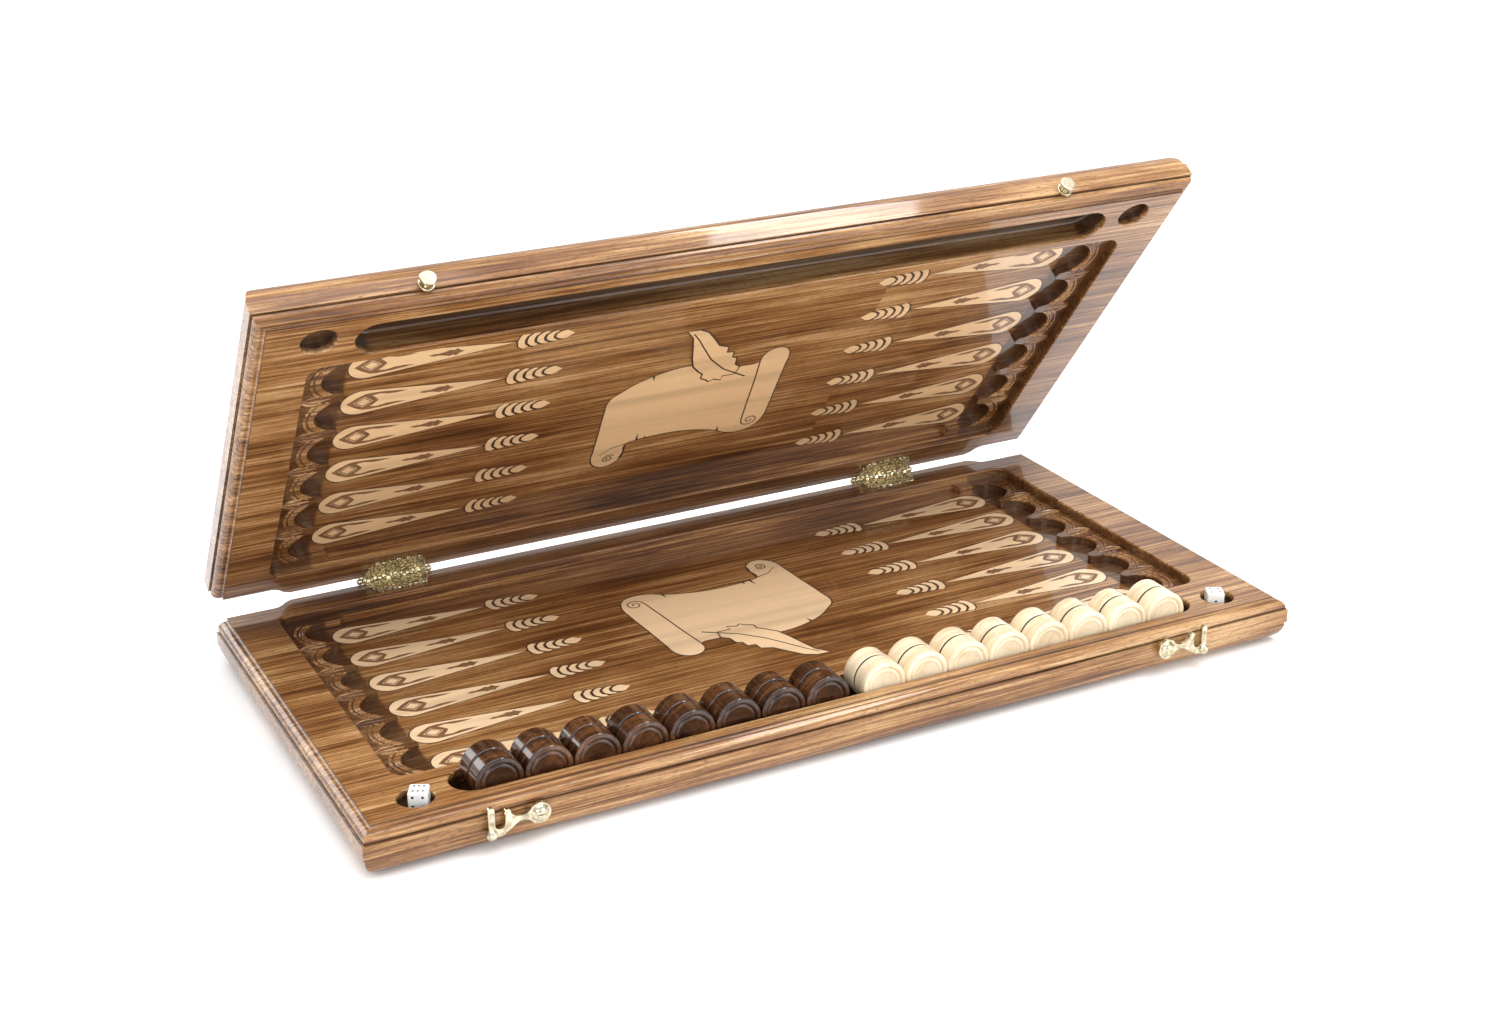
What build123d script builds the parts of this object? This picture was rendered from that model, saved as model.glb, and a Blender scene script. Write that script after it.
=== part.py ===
from build123d import *
import math
import os

# Folding backgammon set in solid wood: two carved half boards on a pair of brass hinges,
# two brass hook latches with their studs, thirty-two turned checkers and two dice.
#
# Each half is drawn once in "half" coordinates: X along the board, Y = -depth from the
# hinge axis towards the front, Z = 0 on the flat rim where the halves meet. The finished
# part stands on the lower half's flat underside: +Z up, +X along the board, front at -Y,
# origin on the underside, mid-length and half a board's depth in front of the hinge axis.

# ---- driving dimensions, millimetres and degrees ----

# half board
length = 600.0
lip_depth = 298.3
hinge_edge = 3.0
hinge_edge_at_ends = 10.8
hinge_edge_straight = 249.0
hinge_edge_curve = 13.0
thickness = 29.0
mould_width = 7.3
mould_drop = 7.4
rim_step = 1.0
quirk_width = 0.8
quirk_from_lip = 0.5
face_bottom = 16.1
face_step = 1.0
under_round_in = 10.8

# carved playing field
recess_half_length = 265.5
recess_back = 25.3
recess_front = 249.5
recess_corner = 9.0
terrace_depth = 6.2
field_depth = 11.8
points_per_side = 6
point_pitch = 35.9
first_point = 46.9
lobe_centre_x = 239.5
lobe_radius = 14.8
cusp_radius = 3.27
tongue_x = 226.0
tongue_width = 6.9
tongue_corner = 4.0

# checker trough and dice wells
trough_centre = 269.3
trough_width = 25.8
trough_half_length = 242.0
trough_depth = 14.0
trough_floor_round = 2.0
well_x = 262.7
well_depth_from_hinge = 274.4
well_radius = 10.1
well_depth = 6.2
rim_edge_round = 1.2

# hinges
axis_rise = 1.0
rest_opening = 52.4
hinge_x = 181.0
leaf_thickness = 0.9
leaf_root_width = 40.6
leaf_tip_width = 32.0
leaf_reach = 19.0
leaf_side_bulge = 1.2
knuckle_count = 7
knuckle_radius = 2.6
knuckle_gap = 0.15
pin_radius = 1.22
pin_clearance = 0.03
finial_radius = 2.3
finial_collar = 0.9
nail_radius = 0.7
nail_head_radius = 1.7
nail_length = 9.0
hole_clearance = 0.02
nail_places = [(-12.0, 12.5), (12.0, 12.5), (0.0, 8.5)]

# hook latches
latch_x = 204.2
pivot_drop = 11.0
stud_drop = 9.6
hook_gap = 2.2
hook_thickness = 2.2
collar_radius = 4.0
journal_radius = 2.0
journal_clearance = 0.05
shank_radius = 1.5
shank_length = 11.0
pivot_head_radius = 4.9
pivot_head_height = 2.7
boss_radius = 6.2
ball_radius = 3.3
ball_lift = 3.75
flange_radius = 4.75
flange_thickness = 1.6
neck_radius = 2.2
neck_length = 3.4
stud_head_height = 2.0

# loose pieces
checker_diameter = 28.2
checker_thickness = 12.3
checker_pitch = 28.45
checkers_per_row = 8
checker_floor_gap = 0.2
outer_end_x = 231.9
pair_gap = 0.3
front_clearance = 0.5
die_size = 10.7
die_round = 1.1
die_turn = -27.0
die_floor_gap = 0.1
die_shift = 2.0
pip_radius = 0.95
pip_sink = 0.4

board_shift_y = length / 4


def place_lower(shape):
    """Moves a shape from half coordinates to its place in the lower half."""
    return Pos(0, board_shift_y, thickness) * shape


def place_lid(shape):
    """Turns a shape over onto the lower half, then opens it about the hinge axis."""
    closed = mirror(shape, about=Plane.XY.offset(axis_rise))
    opened = Pos(0, 0, axis_rise) * Rot(X=-rest_opening) * Pos(0, 0, -axis_rise) * closed
    return place_lower(opened)


def point_row(number):
    """Depth from the hinge axis of one point's centre line."""
    return first_point + number * point_pitch


# ---- half board ----

def moulding_edge(outward):
    """Moulded outer edge from the rim down to the underside, as (distance, height) lines.

    outward maps a distance past the rim's edge to a coordinate along the section.
    """
    roll_start = (1.5, -1.9)
    roll_middle = (4.9, -3.3)
    roll_end = (mould_width - quirk_from_lip - quirk_width, -mould_drop)
    quirk_middle = (mould_width - quirk_from_lip - quirk_width / 2, -mould_drop - quirk_width)
    under_start = (mould_width - face_step, -face_bottom)
    under_end = (mould_width - face_step - under_round_in, -thickness)
    lean = math.sqrt(0.5)
    under_middle = (
        under_end[0] + under_round_in * lean,
        under_start[1] - (thickness - face_bottom) * lean,
    )
    places = {
        "rim": (0, 0),
        "step": (0, -rim_step),
        "cove": (0.5, -rim_step - 0.8),
        "roll_start": roll_start,
        "roll_middle": roll_middle,
        "roll_end": roll_end,
        "quirk_middle": quirk_middle,
        "quirk_end": (mould_width - quirk_from_lip, -mould_drop),
        "lip": (mould_width, -mould_drop),
        "face_foot": (mould_width, -face_bottom),
        "under_start": under_start,
        "under_middle": under_middle,
        "under_end": under_end,
    }
    at = {name: (outward(d), z) for name, (d, z) in places.items()}
    return [
        Line(at["rim"], at["step"]),
        ThreePointArc(at["step"], at["cove"], at["roll_start"]),
        ThreePointArc(at["roll_start"], at["roll_middle"], at["roll_end"]),
        ThreePointArc(at["roll_end"], at["quirk_middle"], at["quirk_end"]),
        Line(at["quirk_end"], at["lip"]),
        Line(at["lip"], at["face_foot"]),
        Line(at["face_foot"], at["under_start"]),
        ThreePointArc(at["under_start"], at["under_middle"], at["under_end"]),
    ]


def half_blank():
    """Half board before carving: front section crossed with side section and hinge edge."""
    side_rim = length / 2 - mould_width
    front_rim = lip_depth - mould_width
    foot_inset = mould_width - face_step - under_round_in

    front_edges = moulding_edge(lambda d: front_rim + d)
    front_edges += [
        Line((front_rim + foot_inset, -thickness), (0, -thickness)),
        Line((0, -thickness), (0, 0)),
        Line((0, 0), (front_rim, 0)),
    ]
    front_face = Plane(origin=(0, 0, 0), x_dir=(0, -1, 0), z_dir=(-1, 0, 0)) * make_face(front_edges)
    front = extrude(front_face, length, both=True)

    side_edges = moulding_edge(lambda d: side_rim + d)
    side_edges += moulding_edge(lambda d: -side_rim - d)
    side_edges += [
        Line((-side_rim - foot_inset, -thickness), (side_rim + foot_inset, -thickness)),
        Line((-side_rim, 0), (side_rim, 0)),
    ]
    side = extrude(Plane.XZ * make_face(side_edges), length, both=True)

    inner, outer = hinge_edge_straight, hinge_edge_straight + hinge_edge_curve
    middle = (inner + outer) / 2
    level = (hinge_edge + hinge_edge_at_ends) / 2
    quarter = hinge_edge_curve / 4
    eighth = (hinge_edge_at_ends - hinge_edge) * 0.15
    far = length
    plan_edges = [
        Line((-far, -far), (far, -far)),
        Line((far, -far), (far, -hinge_edge_at_ends)),
        Line((-far, -far), (-far, -hinge_edge_at_ends)),
        Line((-inner, -hinge_edge), (inner, -hinge_edge)),
    ]
    for side_sign in (-1, 1):
        plan_edges += [
            Line((side_sign * far, -hinge_edge_at_ends), (side_sign * outer, -hinge_edge_at_ends)),
            ThreePointArc(
                (side_sign * outer, -hinge_edge_at_ends),
                (side_sign * (outer - quarter), -hinge_edge_at_ends + eighth),
                (side_sign * middle, -level),
            ),
            ThreePointArc(
                (side_sign * middle, -level),
                (side_sign * (inner + quarter), -hinge_edge - eighth),
                (side_sign * inner, -hinge_edge),
            ),
        ]
    plan = extrude(make_face(plan_edges), -2 * thickness)
    return front & side & (Pos(0, 0, thickness / 2) * plan)


def scalloped_side(sign):
    """Edge of the deep field at one end: a lobe round the base of each point, with
    rounded cusps between the lobes and a short tongue along the hinge-side wall."""
    cusp_x = lobe_centre_x + math.sqrt((lobe_radius + cusp_radius) ** 2 - (point_pitch / 2) ** 2)
    share = lobe_radius / (lobe_radius + cusp_radius)
    touch_x = lobe_centre_x + (cusp_x - lobe_centre_x) * share
    touch_rise = point_pitch / 2 * share

    tongue_top = first_point - touch_rise
    lean = math.sqrt(0.5)
    edges = [
        Line((sign * tongue_x, -recess_back), (sign * tongue_x, -tongue_top + tongue_corner)),
        ThreePointArc(
            (sign * tongue_x, -tongue_top + tongue_corner),
            (
                sign * (tongue_x + tongue_corner * (1 - lean)),
                -tongue_top + tongue_corner * (1 - lean),
            ),
            (sign * (tongue_x + tongue_corner), -tongue_top),
        ),
        Line((sign * (tongue_x + tongue_corner), -tongue_top), (sign * touch_x, -tongue_top)),
    ]
    for number in range(points_per_side):
        row = point_row(number)
        edges.append(
            ThreePointArc(
                (sign * touch_x, -row + touch_rise),
                (sign * (lobe_centre_x + lobe_radius), -row),
                (sign * touch_x, -row - touch_rise),
            )
        )
        cusp_row = row + point_pitch / 2
        if number < points_per_side - 1:
            edges.append(
                ThreePointArc(
                    (sign * touch_x, -row - touch_rise),
                    (sign * (cusp_x - cusp_radius), -cusp_row),
                    (sign * touch_x, -row - point_pitch + touch_rise),
                )
            )
    last = point_row(points_per_side - 1) + touch_rise
    edges.append(Line((sign * touch_x, -last), (sign * touch_x, -recess_front)))
    return edges, touch_x


def recess_cutters():
    """The shallow terrace pocket and the deeper scalloped field inside it."""
    middle = -(recess_back + recess_front) / 2
    pocket = RectangleRounded(2 * recess_half_length, recess_front - recess_back, recess_corner)
    terrace = Pos(0, middle, -terrace_depth) * extrude(pocket, 2 * terrace_depth)

    right, touch_x = scalloped_side(1)
    left, _ = scalloped_side(-1)
    field_edges = right + left + [
        Line((-tongue_x, -recess_back), (tongue_x, -recess_back)),
        Line((-touch_x, -recess_front), (touch_x, -recess_front)),
    ]
    field = Pos(0, 0, -field_depth) * extrude(make_face(field_edges), field_depth)
    return terrace, field


def blind_hole(radius, depth):
    """Hole for a shank, drilled down from Z = 0 and a touch wider and deeper than it."""
    return Cylinder(
        radius + hole_clearance,
        depth + hole_clearance,
        align=(Align.CENTER, Align.CENTER, Align.MAX),
    )


def half_board():
    """One half with its carved field, checker trough, dice wells and fastener holes."""
    board = half_blank()
    terrace, field = recess_cutters()
    board = board - terrace - field

    slot = SlotOverall(2 * trough_half_length, trough_width)
    trough = Pos(0, -trough_centre, -trough_depth) * extrude(slot, 2 * trough_depth)
    trough = fillet(trough.faces().sort_by(Axis.Z)[0].edges(), trough_floor_round)
    board = board - trough
    for sign in (-1, 1):
        well = Pos(sign * well_x, -well_depth_from_hinge, 0) * Cylinder(well_radius, 2 * well_depth)
        board = board - well

    rim_face = board.faces().filter_by(Axis.Z).sort_by(Axis.Z)[-1]
    board = fillet([edge for wire in rim_face.inner_wires() for edge in wire.edges()], rim_edge_round)

    for sign in (-1, 1):
        for nail_x, nail_depth in nail_places:
            place = Pos(sign * hinge_x + nail_x, -nail_depth, 0)
            board = board - place * blind_hole(nail_radius, nail_length)
    return board


def front_hole(sign, drop):
    """Blind hole in the front face for a latch screw or stud."""
    return Pos(sign * latch_x, -lip_depth, -drop) * Rot(X=90) * blind_hole(shank_radius, shank_length)


# ---- hinges ----

def leaf(own_knuckles):
    """Hinge leaf lying on the rim, with its share of the knuckles on the hinge axis."""
    half_root, half_tip = leaf_root_width / 2, leaf_tip_width / 2
    root = hinge_edge
    edges = [Line((-half_root, -root), (half_root, -root))]
    for sign in (-1, 1):
        shoulder = (sign * half_root, -root)
        bulge = (
            sign * ((half_root + half_tip) / 2 + leaf_side_bulge),
            -(root + leaf_reach) / 2,
        )
        tip = (sign * half_tip, -leaf_reach + 1)
        edges.append(ThreePointArc(shoulder, bulge, tip))
        edges.append(
            ThreePointArc(tip, (sign * half_tip / 2, -leaf_reach + 1.6), (0, -leaf_reach - 0.6))
        )
    plate = extrude(make_face(edges), leaf_thickness)
    for nail_x, nail_depth in nail_places:
        plate = plate - Pos(nail_x, -nail_depth, 0) * nail_shape()

    pitch = leaf_root_width / knuckle_count
    for number in own_knuckles:
        centre = (number - (knuckle_count - 1) / 2) * pitch
        barrel = Pos(centre, 0, axis_rise) * Rot(Y=90) * Cylinder(knuckle_radius, pitch - knuckle_gap)
        web = Pos(centre, -root / 2, leaf_thickness / 2) * Box(
            pitch - knuckle_gap, root, leaf_thickness
        )
        plate = plate + barrel + web
    bore = Pos(0, 0, axis_rise) * Rot(Y=90) * Cylinder(pin_radius + pin_clearance, 2 * leaf_root_width)
    return plate - bore


def hinge_pin():
    """Pin through the knuckles with a collar and a ball finial at each end."""
    pin = Rot(Y=90) * Cylinder(pin_radius, leaf_root_width + 2 * finial_collar)
    for sign in (-1, 1):
        collar = Pos(sign * (leaf_root_width / 2 + finial_collar / 2), 0, 0) * Rot(Y=90) * Cylinder(
            finial_radius, finial_collar
        )
        ball = Pos(sign * (leaf_root_width / 2 + finial_collar + finial_radius * 0.8), 0, 0) * Sphere(
            finial_radius
        )
        pin = pin + collar + ball
    return Pos(0, 0, axis_rise) * pin


def nail_shape():
    """Countersunk nail standing in a leaf, with its head flush on top."""
    shank = Cylinder(nail_radius, nail_length, align=(Align.CENTER, Align.CENTER, Align.MAX))
    head = Pos(0, 0, leaf_thickness) * Cone(
        nail_radius, nail_head_radius, leaf_thickness, align=(Align.CENTER, Align.CENTER, Align.MAX)
    )
    return shank + head


def nail_group():
    """The three nails of one leaf, as separate solids."""
    nails = [Pos(x, -depth, 0) * nail_shape() for x, depth in nail_places]
    return Compound(children=[nail.solids()[0] for nail in nails])


# ---- hook latches, drawn on the front face with X along the board and Z outward ----

def on_front(shape, sign, drop):
    """Stands a shape drawn on XY, facing +Z, on the front face at one latch."""
    return Pos(sign * latch_x, -lip_depth, -drop) * Rot(X=90) * shape


def hook():
    """Swan-neck hook lying out to the left of its pivot: boss, curved arm, thumb spur,
    upright finger and an end ball. The stud's neck sits between spur and finger."""
    reach = pivot_drop + stud_drop + 2 * axis_rise
    slot_half = neck_radius + 0.6
    finger_in = reach + slot_half
    finger_out = finger_in + 3.6
    spur_in = reach - slot_half
    slot_floor = -neck_radius - 1.5
    outline = [
        ThreePointArc((-4.0, -4.7), (-9.0, -1.7), (-13.0, -2.4)),
        ThreePointArc((-13.0, -2.4), (-17.0, -5.2), (-21.5, -8.0)),
        Line((-21.5, -8.0), (-finger_out + 1.0, -8.6)),
        ThreePointArc((-finger_out + 1.0, -8.6), (-finger_out - 0.4, -6.0), (-finger_out, -3.0)),
        Line((-finger_out, -3.0), (-finger_out - 0.2, 8.0)),
        ThreePointArc((-finger_out - 0.2, 8.0), (-finger_in - 1.9, 9.8), (-finger_in, 8.0)),
        Line((-finger_in, 8.0), (-finger_in, slot_floor + 2)),
        ThreePointArc((-finger_in, slot_floor + 2), (-reach, slot_floor), (-spur_in, slot_floor + 2)),
        Line((-spur_in, slot_floor + 2), (-spur_in + 0.6, 3.6)),
        ThreePointArc((-spur_in + 0.6, 3.6), (-spur_in + 1.4, 6.9), (-spur_in + 3.4, 4.4)),
        ThreePointArc((-spur_in + 3.4, 4.4), (-13.2, 1.8), (-4.0, 4.7)),
        Line((-4.0, 4.7), (-4.0, -4.7)),
    ]
    arm = extrude(make_face(outline), hook_thickness)
    body = arm + Cylinder(boss_radius, hook_thickness, align=(Align.CENTER, Align.CENTER, Align.MIN))
    body = Pos(0, 0, hook_gap) * body
    body = body + Pos(-finger_in - 2.0, -6.2, ball_lift) * Sphere(ball_radius)
    bore = Cylinder(journal_radius + journal_clearance, 4 * hook_thickness)
    return body - Pos(0, 0, hook_gap) * bore


def pivot_screw():
    """Latch screw: shank in the wood, collar behind the hook, journal and domed head."""
    up = (Align.CENTER, Align.CENTER, Align.MIN)
    down = (Align.CENTER, Align.CENTER, Align.MAX)
    under_head = hook_gap + hook_thickness + journal_clearance
    head_base = Circle(pivot_head_radius)
    dome_radius = (pivot_head_radius**2 + pivot_head_height**2) / (2 * pivot_head_height)
    dome = Pos(0, 0, under_head + pivot_head_height - dome_radius) * Sphere(dome_radius)
    head = dome & Pos(0, 0, under_head) * extrude(head_base, 2 * pivot_head_height)
    slot = Pos(0, 0, under_head + pivot_head_height) * Box(2 * pivot_head_radius, 0.9, 1.6)
    return (
        Cylinder(shank_radius, shank_length, align=down)
        + Cylinder(collar_radius, hook_gap - journal_clearance, align=up)
        + Cylinder(journal_radius, under_head + 0.5, align=up)
        + (head - slot)
    )


def stud():
    """Spool-shaped catch stud: shank, base flange, neck and domed head."""
    up = (Align.CENTER, Align.CENTER, Align.MIN)
    down = (Align.CENTER, Align.CENTER, Align.MAX)
    base = Cylinder(flange_radius, flange_thickness, align=up)
    head = Cylinder(flange_radius, stud_head_height, align=up)
    head = fillet(head.edges().filter_by(GeomType.CIRCLE), 0.8)
    neck = Cylinder(neck_radius, neck_length + 0.4, align=up)
    return (
        Cylinder(shank_radius, shank_length, align=down)
        + fillet(base.edges().filter_by(GeomType.CIRCLE).sort_by(Axis.Z)[-1], 0.5)
        + Pos(0, 0, flange_thickness - 0.2) * neck
        + Pos(0, 0, flange_thickness + neck_length) * head
    )


# ---- loose pieces ----

def checker():
    """Turned checker on edge, axis along Y, both faces with two raised rings and a dish."""
    radius = checker_diameter / 2
    half = checker_thickness / 2
    edge_round = 1.3
    section = []
    for sign in (-1, 1):
        outer_in, outer_out = radius - 3.3, radius - edge_round
        inner_in, inner_out = radius - 6.3, radius - 3.7
        section += [
            ThreePointArc((0, sign * (half - 1.5)), (4.2, sign * (half - 1.35)), (inner_in, sign * (half - 0.9))),
            ThreePointArc(
                (inner_in, sign * (half - 0.9)),
                ((inner_in + inner_out) / 2, sign * (half - 0.45)),
                (inner_out, sign * (half - 1.0)),
            ),
            Line((inner_out, sign * (half - 1.0)), (outer_in, sign * (half - 0.6))),
            ThreePointArc(
                (outer_in, sign * (half - 0.6)),
                ((outer_in + outer_out) / 2 - 0.3, sign * half),
                (outer_out, sign * (half - 0.1)),
            ),
            ThreePointArc(
                (outer_out, sign * (half - 0.1)),
                (radius - 0.35, sign * (half - 0.5)),
                (radius, sign * (half - edge_round)),
            ),
        ]
    section += [
        Line((0, -half + 1.5), (0, half - 1.5)),
        Line((radius, -half + edge_round), (radius, half - edge_round)),
    ]
    return revolve(make_face(section), Axis.Y)


def checker_places():
    """Yields each checker's name and its place in half coordinates."""
    height = -trough_depth + checker_floor_gap + checker_diameter / 2
    front = trough_centre + trough_width / 2 - front_clearance - checker_thickness / 2
    back = front - checker_thickness - pair_gap
    first = outer_end_x - checker_diameter / 2
    for sign, colour in ((-1, "dark"), (1, "light")):
        for row_name, depth in (("front", front), ("back", back)):
            for number in range(checkers_per_row):
                x = sign * (first - number * checker_pitch)
                yield f"checker_{colour}_{row_name}_{number + 1}", Pos(x, -depth, height)


def pip_marks(count):
    """Pip places on one face, in steps from the face's centre."""
    corners = [(-1, -1), (1, 1), (-1, 1), (1, -1)]
    marks = corners[: count - count % 2] if count < 6 else corners + [(-1, 0), (1, 0)]
    return marks + [(0, 0)] if count % 2 else marks


def die(top, front, right):
    """Die with rounded corners and sunk pips; opposite faces add up to seven."""
    half = die_size / 2
    body = fillet(Box(die_size, die_size, die_size).edges(), die_round)
    faces = [
        (top, Rot(0, 0, 90)),
        (7 - top, Rot(180, 0, 0)),
        (front, Rot(90, 0, 0)),
        (7 - front, Rot(-90, 0, 0)),
        (right, Rot(0, 90, 0)),
        (7 - right, Rot(0, -90, 0)),
    ]
    step = die_size * 0.25
    for count, turn in faces:
        for across, along in pip_marks(count):
            place = Pos(across * step, along * step, half + pip_radius - pip_sink)
            body = body - turn * place * Sphere(pip_radius)
    return Pos(0, 0, -well_depth + die_floor_gap + half) * Rot(Z=die_turn) * body


# ---- assembly ----

os.makedirs("parts", exist_ok=True)


def save(name, shape):
    """Writes one node's solids."""
    export_step(shape, f"parts/{name}.step")


plain_half = half_board()
lower_half, lid_half = plain_half, plain_half
for side in (-1, 1):
    lower_half = lower_half - front_hole(side, pivot_drop)
    lid_half = lid_half - front_hole(side, stud_drop)
save("lower_board", place_lower(lower_half))
save("lid_board", place_lid(lid_half))

even_knuckles = range(0, knuckle_count, 2)
odd_knuckles = range(1, knuckle_count, 2)
for side, side_name in ((-1, "left"), (1, "right")):
    at_hinge = Pos(side * hinge_x, 0, 0)
    save(f"hinge_leaf_lower_{side_name}", place_lower(at_hinge * leaf(even_knuckles)))
    save(f"hinge_leaf_lid_{side_name}", place_lid(at_hinge * leaf(odd_knuckles)))
    save(f"hinge_pin_{side_name}", place_lower(at_hinge * hinge_pin()))
    save(f"hinge_nails_lower_{side_name}", place_lower(at_hinge * nail_group()))
    save(f"hinge_nails_lid_{side_name}", place_lid(at_hinge * nail_group()))
    hook_shape = hook() if side < 0 else mirror(hook(), about=Plane.YZ)
    save(f"hook_{side_name}", place_lower(on_front(hook_shape, side, pivot_drop)))
    save(f"hook_screw_{side_name}", place_lower(on_front(pivot_screw(), side, pivot_drop)))
    save(f"catch_stud_{side_name}", place_lid(on_front(stud(), side, stud_drop)))

one_checker = checker()
for name, place in checker_places():
    save(name, place_lower(place * one_checker))

for side, side_name, faces in ((-1, "left", (6, 4, 5)), (1, "right", (4, 1, 5))):
    place = Pos(side * (well_x - die_shift), -well_depth_from_hinge, 0)
    save(f"die_{side_name}", place_lower(place * die(*faces)))
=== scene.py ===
# %% [markdown]
# A folding backgammon set in stained beech: two carved half boards on brass hinges,
# turned checkers, two dice and two hook latches. The solid parts arrive as a fixed frame;
# here they get their finishes, the pale decoration, the carved relief and the light.

# %% Load the frame
import math

import bpy
from mathutils import Matrix, Vector


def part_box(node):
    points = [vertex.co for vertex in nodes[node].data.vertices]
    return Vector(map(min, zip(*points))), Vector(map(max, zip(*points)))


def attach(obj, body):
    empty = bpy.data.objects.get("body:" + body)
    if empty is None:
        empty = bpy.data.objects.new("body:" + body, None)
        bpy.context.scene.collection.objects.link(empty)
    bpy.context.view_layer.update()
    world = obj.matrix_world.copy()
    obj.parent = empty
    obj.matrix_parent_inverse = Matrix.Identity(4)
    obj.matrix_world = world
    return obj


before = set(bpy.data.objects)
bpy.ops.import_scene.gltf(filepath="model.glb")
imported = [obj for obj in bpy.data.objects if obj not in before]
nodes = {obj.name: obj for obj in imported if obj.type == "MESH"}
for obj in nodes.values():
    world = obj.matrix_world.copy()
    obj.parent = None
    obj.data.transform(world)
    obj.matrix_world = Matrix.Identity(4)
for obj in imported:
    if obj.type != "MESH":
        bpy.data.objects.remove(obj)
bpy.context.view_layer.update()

MM = 0.001

# %% [markdown]
# Both halves are drawn once in "half" coordinates: x along the board, s away from the
# hinge axis, z = 0 on the rim. A matrix carries a drawing to the lower half, and a mirror
# followed by a turn carries the same drawing to the lid, as if the lid were folded open.

# %% The two halves' places
BOARD_HEIGHT = 29 * MM
HINGE_Y = 150 * MM
AXIS_RISE = 1 * MM
OPENING = math.radians(52.4)
FIELD = -11.8      # millimetres from the rim down to the playing field
TERRACE = -6.2     # and down to the carved terrace at its ends

to_lower = Matrix.Translation((0, HINGE_Y, BOARD_HEIGHT))
over = Matrix.Translation((0, 0, 2 * AXIS_RISE)) @ Matrix.Scale(-1, 4, (0, 0, 1))
swing = (
    Matrix.Translation((0, 0, AXIS_RISE))
    @ Matrix.Rotation(-OPENING, 4, "X")
    @ Matrix.Translation((0, 0, -AXIS_RISE))
)
HALVES = {
    "lower": (to_lower, "lower_half"),
    "lid": (to_lower @ swing @ over, "lid_half"),
}
print("lid edge", (HALVES["lid"][0] @ Vector((0, -0.298, 0)))[:])


# %% [markdown]
# The camera stands in front and a little to the left, at about the height of a person who
# sits at the table. Its axes are worked out from where it stands and what it looks at, which
# is easier to read than three angles, and a small tilt is added last.

# %% Camera
def look(position, target, roll, lens):
    """Adds a level camera at a position, aimed at a target, then tilted by a roll."""
    back = (Vector(position) - Vector(target)).normalized()
    right = Vector((0, 0, 1)).cross(back).normalized()
    up = back.cross(right)
    turned_right = right * math.cos(roll) - up * math.sin(roll)
    turned_up = right * math.sin(roll) + up * math.cos(roll)
    bpy.ops.object.camera_add(location=position)
    camera = bpy.context.object
    axes = Matrix((turned_right, turned_up, back)).transposed()
    camera.matrix_world = Matrix.Translation(position) @ axes.to_4x4()
    camera.data.lens = lens
    camera.data.sensor_width = 36
    camera.data.clip_start = 0.01
    bpy.context.scene.camera = camera
    return camera


EYE = (-0.5634, -1.1020, 0.6103)
AIM = (0.0750, 0.1478, 0.029)
TILT = math.radians(0.561)
LENS = 52.8
look(EYE, AIM, TILT, LENS)
print("camera at", bpy.context.scene.camera.location[:])


# %% [markdown]
# The set stands on a white sweep, as in a light tent. White light comes from all round, so
# shadows are pale, and soft panels add shape: a large one overhead, a long narrow one that
# draws a bright line on the round mouldings, one behind, and two in front for the lid.
# Varnish shows its gloss by what it mirrors, so the panels matter as much as the material.

# %% Floor and light
def socket_values(node, **values):
    """Sets a node's input sockets by name, with underscores for spaces."""
    for name, value in values.items():
        node.inputs[name.replace("_", " ")].default_value = value


def panel(name, place, aim, size, power):
    """Adds a rectangular soft light aimed at a point."""
    bpy.ops.object.light_add(type="AREA", location=place)
    light = bpy.context.object
    light.name = name
    light.data.shape = "RECTANGLE"
    light.data.size, light.data.size_y = size
    light.data.energy = power
    away = Vector(place) - Vector(aim)
    light.rotation_euler = away.to_track_quat("Z", "Y").to_euler()
    return light


FLOOR_DROP = 0.4 * MM
bpy.ops.mesh.primitive_plane_add(size=9, location=(0, 0, -FLOOR_DROP))
floor = bpy.context.object
floor.name = "sweep"
sweep = bpy.data.materials.new("white_sweep")
sweep.use_nodes = True
socket_values(sweep.node_tree.nodes["Principled BSDF"],
              Base_Color=(0.94, 0.94, 0.945, 1), Roughness=0.9)
floor.data.materials.append(sweep)

world = bpy.context.scene.world or bpy.data.worlds.new("tent")
bpy.context.scene.world = world
world.use_nodes = True
socket_values(world.node_tree.nodes["Background"], Color=(1, 1, 1, 1), Strength=0.92)
panel("overhead", (-0.3, -0.5, 2.2), (0, 0, 0.05), (2.2, 1.6), 26)
panel("strip", (0.92, -0.05, 1.96), (0, 0, 0.03), (2.4, 0.30), 26)
panel("rear_left", (-0.95, 2.05, 1.05), (-0.3, 0, 0.03), (1.5, 1.1), 20)
panel("front_left", (-1.2, -2.0, 0.8), (0, 0, 0.1), (1.0, 0.8), 10)
panel("front_right", (1.3, -1.9, 0.6), (0.1, 0, 0.15), (1.4, 1.0), 12)
bpy.context.scene.view_settings.view_transform = "Standard"


# %% [markdown]
# Every finish here is a small network of nodes. Wiring them by hand takes many lines, so a
# short class keeps one material and adds the few kinds of node that the finishes share:
# stretched noise for grain, a colour ramp, masks, a bump. Patterns read Object coordinates,
# because they stay fixed to a piece when it moves.

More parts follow.
